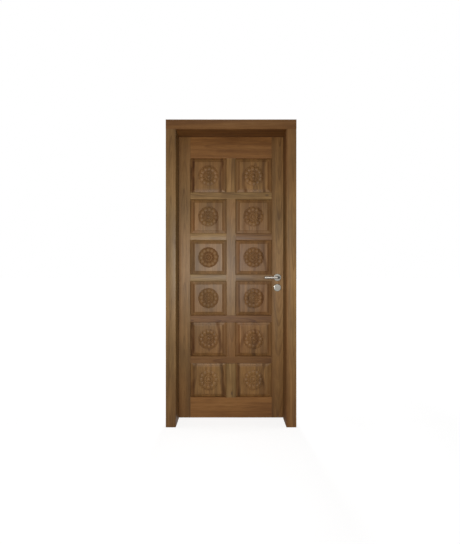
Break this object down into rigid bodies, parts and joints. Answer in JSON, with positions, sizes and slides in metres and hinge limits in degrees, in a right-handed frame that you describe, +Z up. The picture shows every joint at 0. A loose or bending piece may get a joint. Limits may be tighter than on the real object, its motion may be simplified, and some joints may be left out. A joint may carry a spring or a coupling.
{
  "type": "carved panel door with frame",
  "caption": "Carved timber panel door with raised rosette panels, hung on butt hinges in a solid rebated frame, with a lever latch and a privacy bolt.",
  "frame": {"origin": "on the floor, in the middle of the doorway and half way through the frame's depth", "axes": "+X to the right seen from the carved side, +Y away from the carved side, +Z up"},
  "size_m": [0.918, 0.207, 2.162],
  "materials": {
    "frame_timber": "stained, satin",
    "leaf_timber": "stained, satin",
    "carved_timber": "carved, stained",
    "satin_steel": "satin",
    "lock_steel": "plain"
  },
  "bodies": {
    "frame": {"hinge_jamb": "frame_timber", "lock_jamb": "frame_timber", "head": "frame_timber", "strike_plate": "satin_steel", "frame_screws": "satin_steel", "bottom_hinge_frame_plate": "satin_steel", "middle_hinge_frame_plate": "satin_steel", "top_hinge_frame_plate": "satin_steel", "bottom_hinge_pin": "satin_steel", "middle_hinge_pin": "satin_steel", "top_hinge_pin": "satin_steel"},
    "leaf": {"hinge_stile": "leaf_timber", "lock_stile": "leaf_timber", "top_rail": "leaf_timber", "bottom_rail": "leaf_timber", "upper_cross_rail": "leaf_timber", "lower_cross_rail": "leaf_timber", "base_cross_rail": "leaf_timber", "left_upper_short_rail": "leaf_timber", "right_upper_short_rail": "leaf_timber", "left_lower_short_rail": "leaf_timber", "right_lower_short_rail": "leaf_timber", "top_muntin": "leaf_timber", "long_muntin": "leaf_timber", "lower_muntin": "leaf_timber", "base_muntin": "leaf_timber", "panel_1_left": "carved_timber", "panel_1_right": "carved_timber", "panel_2_left": "carved_timber", "panel_2_right": "carved_timber", "panel_3_left": "carved_timber", "panel_3_right": "carved_timber", "panel_4_left": "carved_timber", "panel_4_right": "carved_timber", "panel_5_left": "carved_timber", "panel_5_right": "carved_timber", "panel_6_left": "carved_timber", "panel_6_right": "carved_timber", "bottom_hinge_leaf_plate": "satin_steel", "middle_hinge_leaf_plate": "satin_steel", "top_hinge_leaf_plate": "satin_steel", "leaf_screws": "satin_steel", "lock_case": "lock_steel", "faceplate": "satin_steel", "rose_bolts": "satin_steel", "front_lever_rose": "satin_steel", "rear_lever_rose": "satin_steel", "front_turn_rose": "satin_steel", "rear_turn_rose": "satin_steel"},
    "levers": {"front_lever": "satin_steel", "rear_lever": "satin_steel", "spindle": "lock_steel", "follower": "lock_steel"},
    "latch": {"latch_bolt": "satin_steel"},
    "turn": {"coin_release": "satin_steel", "thumb_turn": "satin_steel", "turn_spindle": "lock_steel", "turn_follower": "lock_steel"},
    "dead_bolt": {"dead_bolt": "satin_steel"}
  },
  "joints": [
    {"name": "leaf_swing", "type": "hinge", "parent": "frame", "child": "leaf", "pos_m": [-0.4015, 0.0815, 1.056], "axis": [0, 0, 1], "range_deg": [0, 120]},
    {"name": "lever_turn", "type": "hinge", "parent": "leaf", "child": "levers", "pos_m": [0.345, 0.055, 1.05], "axis": [0, -1, 0], "range_deg": [0, 45], "stiffness_Nm_per_rad": 1.2, "springref_deg": -28.65},
    {"name": "latch_slide", "type": "slide", "parent": "leaf", "child": "latch", "axis": [-1, 0, 0], "range_m": [0, 0.0125]},
    {"name": "turn_rotate", "type": "hinge", "parent": "leaf", "child": "turn", "pos_m": [0.345, 0.055, 0.974], "axis": [0, 1, 0], "range_deg": [0, 90]},
    {"name": "bolt_slide", "type": "slide", "parent": "leaf", "child": "dead_bolt", "axis": [1, 0, 0], "range_m": [0, 0.017]}
  ],
  "couplings": [
    {"joint": "latch_slide", "follows": "lever_turn", "m_per_rad": 0.0159},
    {"joint": "bolt_slide", "follows": "turn_rotate", "m_per_rad": 0.0108}
  ]
}
